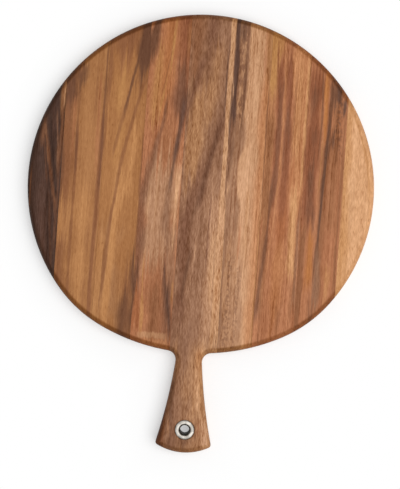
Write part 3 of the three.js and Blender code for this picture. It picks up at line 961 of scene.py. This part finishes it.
def arc(centre, radius, start, stop, steps):
    """Points of an arc the short way round: the centre plus the radius turned from start to stop."""
    sweep = (stop - start + np.pi) % (2 * np.pi) - np.pi
    return centre + radius * np.exp(1j * (start + sweep * np.linspace(0, 1, steps + 1)))


def outline(inset):
    """The paddle's outline moved inwards by inset, as complex points x + iy, anticlockwise from the tip.

    Each half is a chain of arcs that touch: round, blend, shoulder, neck fillet, hollow side, corner, end.
    """
    sizes = bpy.context.scene.paddle_sizes
    shoulder_radius = sizes.board_radius + sizes.shoulder_ease
    shoulder_reach = sizes.board_radius - sizes.shoulder_flat
    blend_radius = sizes.shoulder_blend
    side_radius = sizes.handle_side_radius
    end_radius = sizes.handle_end_radius
    board = 0j
    shoulder = 1j * (shoulder_radius - shoulder_reach)
    blend = crossing(board, sizes.board_radius - blend_radius, shoulder, shoulder_radius - blend_radius)
    end = -1j * (sizes.handle_reach - end_radius)
    half_end = sizes.handle_end_width / 2
    side_top = complex(sizes.neck_width / 2, -shoulder_reach - sizes.neck_length)
    side_foot = end + complex(half_end, -np.sqrt(end_radius**2 - half_end**2))
    side = crossing(side_foot, side_radius, side_top, side_radius)
    neck = crossing(shoulder, shoulder_radius + sizes.neck_fillet, side, side_radius - sizes.neck_fillet)
    corner = crossing(end, end_radius - sizes.handle_corner, side, side_radius + sizes.handle_corner)
    corner_radius = sizes.handle_corner - inset
    if corner_radius < 0:
        corner = crossing(end, end_radius - inset, side, side_radius + inset)
        corner_radius = 0.0
    into_blend = heading(board, blend)
    into_shoulder = heading(shoulder, blend)
    into_side = heading(side, neck)
    into_end = heading(end, corner)
    chain = (
        (board, sizes.board_radius - inset, np.pi / 2, into_blend, BOARD_STEPS),
        (blend, blend_radius - inset, into_blend, into_shoulder, BLEND_STEPS),
        (shoulder, shoulder_radius - inset, into_shoulder, heading(shoulder, neck), SHOULDER_STEPS),
        (neck, sizes.neck_fillet + inset, heading(neck, shoulder), into_side, NECK_STEPS),
        (side, side_radius + inset, into_side, heading(side, corner), SIDE_STEPS),
        (corner, corner_radius, heading(corner, side), into_end, CORNER_STEPS),
        (end, end_radius - inset, into_end, -np.pi / 2, END_STEPS),
    )
    right = np.concatenate([arc(*chain[0]), *(arc(*stretch)[1:] for stretch in chain[1:])])
    return np.concatenate((right[::-1], -right.conj()[1:-1]))


def neck_height():
    """Where along y the narrowest place of the handle lies."""
    sizes = bpy.context.scene.paddle_sizes
    return -(sizes.board_radius - sizes.shoulder_flat + sizes.neck_length)


def along(points, places):
    """Points at fractional places along a closed line, each between its two neighbours."""
    whole = np.floor(places).astype(int)
    share = places - whole
    count = len(points)
    return points[whole % count] * (1 - share) + points[(whole + 1) % count] * share


def joints():
    """Place at y = 0 and slope of every glue joint from left to right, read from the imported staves.

    A joint outside the board stands at each end of the row.
    """
    sizes = bpy.context.scene.paddle_sizes
    half = sizes.glue_line / 2
    left = [(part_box(f"left_stave_{number}")[0].x - half, 0.0) for number in (3, 2, 1)]
    right = [(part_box(f"right_stave_{number}")[1].x + half, 0.0) for number in (1, 2, 3)]
    middle = [(-sizes.handle_left, 0.0), (sizes.handle_right, np.tan(sizes.handle_taper))]
    outside = 2 * sizes.board_radius
    return [(-outside, 0.0), *left, *middle, *right, (outside, 0.0)]


def stave_between(name):
    """The two joints beside a stave, moved inwards by half the glue line."""
    half = bpy.context.scene.paddle_sizes.glue_line / 2
    place = list(GRAINS).index(name)
    (left, left_slope), (right, right_slope) = joints()[place:place + 2]
    return (left + half, left_slope), (right - half, right_slope)


def past_joint(points, joint):
    """How far points lie to the right of a joint given by its place at y = 0 and the slope of its lean."""
    place, slope = joint
    return points.real - place + points.imag * slope


def stave_runs(points, left, right):
    """The stretches of the outline between two joints, each by its first and last fractional place."""
    places = []
    for joint in (left, right):
        before = past_joint(points, joint)
        after = np.roll(before, -1)
        cuts = np.nonzero((before < 0) != (after < 0))[0]
        places.append(cuts + before[cuts] / (before[cuts] - after[cuts]))
    starts = np.sort(np.concatenate(places))
    stops = np.append(starts[1:], starts[0] + len(points))
    middles = along(points, (starts + stops) / 2)
    inside = (past_joint(middles, left) > 0) & (past_joint(middles, right) < 0)
    return starts[inside], stops[inside]


def edge_levels():
    """Inset and height of each level: a quarter round, the upright wall and a quarter round."""
    sizes = bpy.context.scene.paddle_sizes
    turn = np.linspace(0, np.pi / 2, ROUND_STEPS + 1)
    inset = sizes.edge_round * (1 - np.sin(turn))
    height = sizes.edge_round * (1 - np.cos(turn))
    return np.append(inset, inset[::-1]), np.append(height, sizes.thickness - height[::-1])


def stave_loops(left, right, keep):
    """A stave's outline on every level, with the same points on each, and which of its sides are rounded.

    keep picks the stretches of the outline that belong to the piece by the place of their middles along y.
    """
    insets, heights = edge_levels()
    loops = []
    counts = None
    for inset in insets:
        points = outline(inset)
        starts, stops = stave_runs(points, left, right)
        chosen = keep(along(points, (starts + stops) / 2).imag)
        if not chosen.any():
            raise RuntimeError("a stave has no outline between its joints")
        runs = list(zip(starts[chosen], stops[chosen]))
        if counts is None:
            counts = [int(np.ceil(stop - start)) + 2 for start, stop in runs]
        loops.append(np.concatenate([
            along(points, np.linspace(start, stop, count)) for (start, stop), count in zip(runs, counts)
        ]))
    rounded = np.ones(sum(counts), dtype=bool)
    rounded[np.cumsum(counts) - 1] = False
    return np.array(loops), heights, rounded


def strips(rows, columns, closed, first=0):
    """Four-sided faces of a grid whose rows close on themselves; closed joins the last row to the first."""
    row = np.arange(rows if closed else rows - 1)[:, None]
    column = np.arange(columns)[None, :]
    beside = (column + 1) % columns
    here = row * columns
    above = (row + 1) % rows * columns
    corners = (here + column, here + beside, above + beside, above + column)
    return first + np.stack(corners, axis=-1).reshape(-1, 4)


def turned(profile, centre):
    """A profile of radius and height turned about an upright axis: a ring of points for each of its own."""
    turn = np.linspace(0, 2 * np.pi, LATHE_STEPS, endpoint=False)
    flat = centre + profile[:, :1] * np.exp(1j * turn)
    tall = np.broadcast_to(profile[:, 1:], flat.shape)
    return np.stack((flat.real, flat.imag, tall), axis=-1).reshape(-1, 3)


def finished_mesh(name, vertices, faces, smooth):
    """An object at the origin with that mesh; faces past the list of smooth ones are flat."""
    mesh = bpy.data.meshes.new(name)
    mesh.from_pydata(vertices.tolist(), [], faces)
    shading = np.zeros(len(faces), dtype=bool)
    shading[:len(smooth)] = smooth
    mesh.polygons.foreach_set("use_smooth", shading)
    mesh.set_sharp_from_angle(angle=CREASE)
    if mesh.validate():
        raise RuntimeError(f"{name} has faces that Blender had to mend")
    piece = bpy.data.objects.new(name, mesh)
    bpy.context.scene.collection.objects.link(piece)
    return piece


def lids_round_hole(loop, centre, first, ring):
    """Two polygons between a closed line and a ring in it, cut apart beside the ring: above it and below."""
    off = np.where(loop.imag < neck_height(), np.abs(loop.imag - centre.imag), np.inf)
    right = int(np.argmin(np.where(loop.real > centre.real, off, np.inf)))
    left = int(np.argmin(np.where(loop.real < centre.real, off, np.inf)))
    count = len(loop)
    half = len(ring) // 2
    upper = (right + np.arange((left - right) % count + 1)) % count
    lower = (left + np.arange((right - left) % count + 1)) % count
    over = ring[np.arange(half, -1, -1)]
    under = ring[np.arange(2 * half, half - 1, -1) % len(ring)]
    return np.append(first + upper, over), np.append(first + lower, under)


def wooden_piece(name, loops, heights, rounded, hole=None):
    """Mesh of a stave: its levels stacked as strips, closed by the two flat faces.

    With a hole, its turned wall joins the strips, and each flat face is two polygons that meet beside it.
    """
    levels, columns = loops.shape
    tall = np.broadcast_to(heights[:, None], loops.shape)
    vertices = np.stack((loops.real, loops.imag, tall), axis=-1).reshape(-1, 3)
    faces = strips(levels, columns, closed=False)
    smooth = np.tile(rounded, levels - 1)
    last = (levels - 1) * columns
    if hole is None:
        lids = [np.arange(columns) + last, np.arange(columns)[::-1]]
    else:
        wall, centre = hole
        rings = len(wall)
        bore = strips(rings, LATHE_STEPS, closed=False, first=len(vertices))
        top_ring = len(vertices) + np.arange(LATHE_STEPS)
        low_ring = top_ring + (rings - 1) * LATHE_STEPS
        vertices = np.concatenate((vertices, turned(wall, centre)))
        faces = np.concatenate((faces, bore))
        smooth = np.concatenate((smooth, np.ones(len(bore), dtype=bool)))
        lids = []
        for loop, ring, first, flip in ((loops[-1], top_ring, last, 1), (loops[0], low_ring, 0, -1)):
            lids += [lid[::flip] for lid in lids_round_hole(loop, centre, first, ring)]
    return finished_mesh(name, vertices, [*faces.tolist(), *[lid.tolist() for lid in lids]], smooth)


def eyelet_centre():
    """The eyelet's axis, as a complex point x + iy."""
    handle = bpy.context.scene.paddle_sizes
    eyelet = bpy.context.scene.eyelet_sizes
    return complex(eyelet.aside, eyelet.from_tip - handle.handle_reach)


def eyelet_arc(centre_radius, centre_height, wide, tall, start, stop):
    """Radius and height along an elliptic arc, from start to stop in degrees."""
    turn = np.radians(np.linspace(start, stop, CURVE_STEPS + 1))
    return np.column_stack((centre_radius + wide * np.cos(turn), centre_height + tall * np.sin(turn)))


def lathe(name, profile):
    """A closed profile turned about the eyelet's axis."""
    faces = strips(len(profile), LATHE_STEPS, closed=True)
    smooth = np.ones(len(faces), dtype=bool)
    return finished_mesh(name, turned(profile, eyelet_centre()), faces.tolist(), smooth)


def dress(piece, material, cad_node):
    """Gives a piece its material, and lets it stand for its CAD node on the paddle's one body."""
    piece.data.materials.append(material)
    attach(piece, BODY)
    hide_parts(cad_node)


class PADDLE_OT_side_staves(bpy.types.Operator):
    """Builds the eight staves beside the handle stave, each a slice of the rounded outline"""

    bl_idname = "paddle.side_staves"
    bl_label = "Side staves"

    def execute(self, context):
        for name in GRAINS:
            if name == HANDLE:
                continue
            side, number = name.split("_")
            loops = stave_loops(*stave_between(name), lambda middles: middles > neck_height())
            piece = wooden_piece(f"acacia_{side}_stave_{number}", *loops)
            dress(piece, stave_wood(name), f"{side}_stave_{number}")
        return {"FINISHED"}


class PADDLE_OT_handle(bpy.types.Operator):
    """Builds the handle stave with the stepped hole for the eyelet, and the corner glued on its left"""

    bl_idname = "paddle.handle"
    bl_label = "Handle stave and corner"

    def execute(self, context):
        handle = context.scene.paddle_sizes
        eyelet = context.scene.eyelet_sizes
        ease = eyelet.hole_ease
        flange_hole = eyelet.flange_radius + eyelet.seat_gap
        washer_hole = eyelet.washer_radius + eyelet.seat_gap
        barrel_hole = eyelet.bore / 2 + eyelet.wall + eyelet.metal_gap
        seat = handle.thickness - eyelet.flange_seat
        wall = np.array((
            (flange_hole + ease, handle.thickness),
            (flange_hole, handle.thickness - ease),
            (flange_hole, seat),
            (barrel_hole, seat),
            (barrel_hole, eyelet.washer_top),
            (washer_hole, eyelet.washer_top),
            (washer_hole, ease),
            (washer_hole + ease, 0.0),
        ))
        loops = stave_loops(*stave_between(HANDLE), np.isfinite)
        piece = wooden_piece("acacia_handle_stave", *loops, hole=(wall, eyelet_centre()))
        dress(piece, stave_wood(HANDLE), "handle_stave")
        loops = stave_loops(*stave_between("left_1"), lambda middles: middles < neck_height())
        piece = wooden_piece("acacia_handle_corner", *loops)
        dress(piece, stave_wood("left_1"), "handle_corner_left")
        return {"FINISHED"}


class PADDLE_OT_eyelet(bpy.types.Operator):
    """Builds the pressed eyelet: a profile of flange, throat, barrel and rolled end, turned about its axis"""

    bl_idname = "paddle.eyelet"
    bl_label = "Eyelet"

    def execute(self, context):
        handle = context.scene.paddle_sizes
        sizes = context.scene.eyelet_sizes
        bore = sizes.bore / 2
        barrel = bore + sizes.wall
        seat = handle.thickness - sizes.flange_seat
        rim = seat + sizes.flange_rim
        crest = bore + sizes.throat
        curl = sizes.washer_thickness + sizes.metal_gap
        curl_middle = barrel + curl
        profile = np.concatenate((
            [(barrel, sizes.washer_top), (barrel, seat), (sizes.flange_radius, seat)],
            eyelet_arc(crest, rim, sizes.flange_radius - crest, sizes.flange_top - rim, 0, 90),
            eyelet_arc(crest, sizes.flange_top - sizes.throat, sizes.throat, sizes.throat, 90, 180)[1:],
            eyelet_arc(curl_middle, sizes.washer_top, curl + sizes.wall, curl + sizes.wall, 180, 270),
            eyelet_arc(curl_middle, sizes.washer_top, curl, curl, 270, 180)[:-1],
        ))
        dress(lathe("eyelet_pressed", profile), eyelet_metal(), "eyelet_front")
        return {"FINISHED"}


class PADDLE_OT_washer(bpy.types.Operator):
    """Builds the back washer: a flat ring with a rounded edge and a hollow for the rolled barrel"""

    bl_idname = "paddle.washer"
    bl_label = "Eyelet washer"

    def execute(self, context):
        sizes = context.scene.eyelet_sizes
        hole = sizes.bore / 2 + sizes.wall + sizes.metal_gap
        thick = sizes.washer_thickness
        edge = sizes.washer_edge
        low = sizes.washer_top - thick
        profile = np.concatenate((
            [(sizes.washer_radius, sizes.washer_top)],
            eyelet_arc(hole + thick, sizes.washer_top, thick, thick, 180, 270),
            eyelet_arc(sizes.washer_radius - edge, low + edge, edge, edge, 270, 360),
        ))
        dress(lathe("eyelet_washer_pressed", profile), eyelet_metal(), "eyelet_back_washer")
        return {"FINISHED"}


class PADDLE_OT_stage(bpy.types.Operator):
    """Builds the pale floor, the soft lamp, the surroundings and the camera over the board"""

    bl_idname = "paddle.stage"
    bl_label = "Stage"

    def execute(self, context):
        settings = context.scene.stage_settings
        self.lay_floor(settings)
        self.surround(context.scene, settings)
        self.hang_lamp(context.scene, settings)
        self.place_camera(context.scene, settings)
        context.scene.view_settings.view_transform = "Standard"
        return {"FINISHED"}

    def lay_floor(self, settings):
        """A square grid at height 0, in pale paper that keeps the board's shadow."""
        line = np.linspace(-settings.floor_side / 2, settings.floor_side / 2, FLOOR_LINES)
        across, deep = np.meshgrid(line, line)
        vertices = np.column_stack((across.ravel(), deep.ravel(), np.zeros(across.size)))
        cell = np.arange(FLOOR_LINES - 1)
        corner = (cell[:, None] * FLOOR_LINES + cell).ravel()
        faces = np.column_stack((corner, corner + 1, corner + FLOOR_LINES + 1, corner + FLOOR_LINES))
        floor = finished_mesh("pale_floor", vertices, faces.tolist(), smooth=())
        floor.data.materials.append(self.paper(settings))

    def seen(self, tree):
        """One for rays of the camera and those that metal and glass send on, zero for the rest."""
        rays = node(tree, "LightPath", out=None)
        direct = node(tree, "Math", (rays["Is Camera Ray"], rays["Is Glossy Ray"]), operation="MAXIMUM")
        return node(tree, "Math", (direct, rays["Is Transmission Ray"]), operation="MAXIMUM")

    def paper(self, settings):
        """Studio paper, matt: white, with some plain white added where the camera sees it.

        The plain white takes over away from the paddle, so that the floor runs into the background. The way
        out from the paddle is the lesser of the ways from the round board and from the handle's own box.
        """
        material = bpy.data.materials.new("studio_paper_matt")
        tree = empty_tree(material)
        sizes = bpy.context.scene.paddle_sizes
        place = node(tree, "TexCoord", out="Object")
        from_board = node(tree, "VectorMath", (place,), operation="LENGTH", out="Value")
        from_board = node(tree, "Math", (from_board, sizes.board_radius), operation="SUBTRACT")
        across, deep, _ = node(tree, "SeparateXYZ", (place,), out=None)
        beside = node(tree, "Math", (across,), operation="ABSOLUTE")
        beside = node(tree, "Math", (beside, sizes.handle_end_width / 2), operation="SUBTRACT")
        below = node(tree, "Math", (-sizes.handle_reach, deep), operation="SUBTRACT")
        from_handle = node(tree, "Math", (beside, below), operation="MAXIMUM")
        from_handle = node(tree, "Math", (from_handle, deep), operation="MAXIMUM")
        away = node(tree, "Math", (from_board, from_handle), operation="MINIMUM")
        fading = {"Value": away, "From Max": settings.floor_fade, "To Min": settings.floor_glow}
        glow = node(tree, "MapRange", fading, **SMOOTH)
        glow = node(tree, "Math", (self.seen(tree), glow), operation="MULTIPLY")
        matt = node(tree, "BsdfDiffuse", {"Color": linear(settings.paper)})
        white = node(tree, "Emission", {"Strength": 1.0})
        mixed = node(tree, "MixShader", (glow, matt, white))
        node(tree, "OutputMaterial", {"Surface": mixed}, out=None)
        return material

    def surround(self, scene, settings):
        """Even surroundings that look white and light the paddle a little."""
        world = bpy.data.worlds.new("soft_studio")
        tree = empty_tree(world)
        level = node(tree, "MapRange", {"Value": self.seen(tree), "To Min": settings.ambient, "To Max": 1.0})
        sky = node(tree, "Background", {"Color": linear(settings.paper), "Strength": level})
        node(tree, "OutputWorld", {"Surface": sky}, out=None)
        scene.world = world

    def hang_lamp(self, scene, settings):
        """One large soft lamp, high up on the right and a little towards the handle."""
        lamp = bpy.data.lights.new("soft_key", "AREA")
        lamp.energy = settings.lamp_power
        lamp.size = settings.lamp_size
        key = bpy.data.objects.new("soft_key", lamp)
        bearing, elevation = settings.lamp_bearing, settings.lamp_elevation
        level_out = settings.lamp_distance * np.cos(elevation)
        height = settings.lamp_distance * np.sin(elevation)
        key.location = (level_out * np.cos(bearing), level_out * np.sin(bearing), height)
        key.rotation_euler = (0.0, np.pi / 2 - elevation, bearing)
        scene.collection.objects.link(key)

    def place_camera(self, scene, settings):
        """The camera straight over the board, turned a little about its axis."""
        camera = bpy.data.cameras.new("camera")
        camera.sensor_fit = "VERTICAL"
        camera.sensor_height = CAMERA_SENSOR
        camera.lens = settings.lens
        stand = bpy.data.objects.new("camera", camera)
        stand.location = (settings.camera_right, -settings.camera_down, settings.camera_height)
        stand.rotation_euler = (0.0, 0.0, settings.camera_turn)
        scene.collection.objects.link(stand)
        scene.camera = stand


class PADDLE_PT_panel(bpy.types.Panel):
    """Lists the paddle's pieces and settings"""

    bl_idname = "PADDLE_PT_panel"
    bl_label = "Serving paddle"
    bl_space_type = "VIEW_3D"
    bl_region_type = "UI"
    bl_category = "Paddle"

    def draw(self, context):
        for operator in OPERATORS:
            self.layout.operator(operator.bl_idname)
        for group in SETTINGS:
            box = self.layout.box()
            for name in SETTINGS[group].__annotations__:
                box.prop(getattr(context.scene, group), name)


SETTINGS = {
    "paddle_sizes": PaddleSizes,
    "eyelet_sizes": EyeletSizes,
    "paddle_tones": PaddleTones,
    "stage_settings": StageSettings,
}
OPERATORS = (
    PADDLE_OT_side_staves,
    PADDLE_OT_handle,
    PADDLE_OT_eyelet,
    PADDLE_OT_washer,
    PADDLE_OT_stage,
)


def register():
    """Adds the classes and the settings on the scene."""
    for group in (*SETTINGS.values(), *OPERATORS, PADDLE_PT_panel):
        bpy.utils.register_class(group)
    for name, group in SETTINGS.items():
        setattr(bpy.types.Scene, name, PointerProperty(type=group))


def unregister():
    """Takes the settings and the classes away again."""
    for name in SETTINGS:
        delattr(bpy.types.Scene, name)
    for group in (PADDLE_PT_panel, *OPERATORS, *SETTINGS.values()):
        bpy.utils.unregister_class(group)


def main():
    """Builds the paddle and its stage."""
    register()
    bpy.ops.paddle.side_staves()
    bpy.ops.paddle.handle()
    bpy.ops.paddle.eyelet()
    bpy.ops.paddle.washer()
    bpy.ops.paddle.stage()


if __name__ == "__main__":
    main()
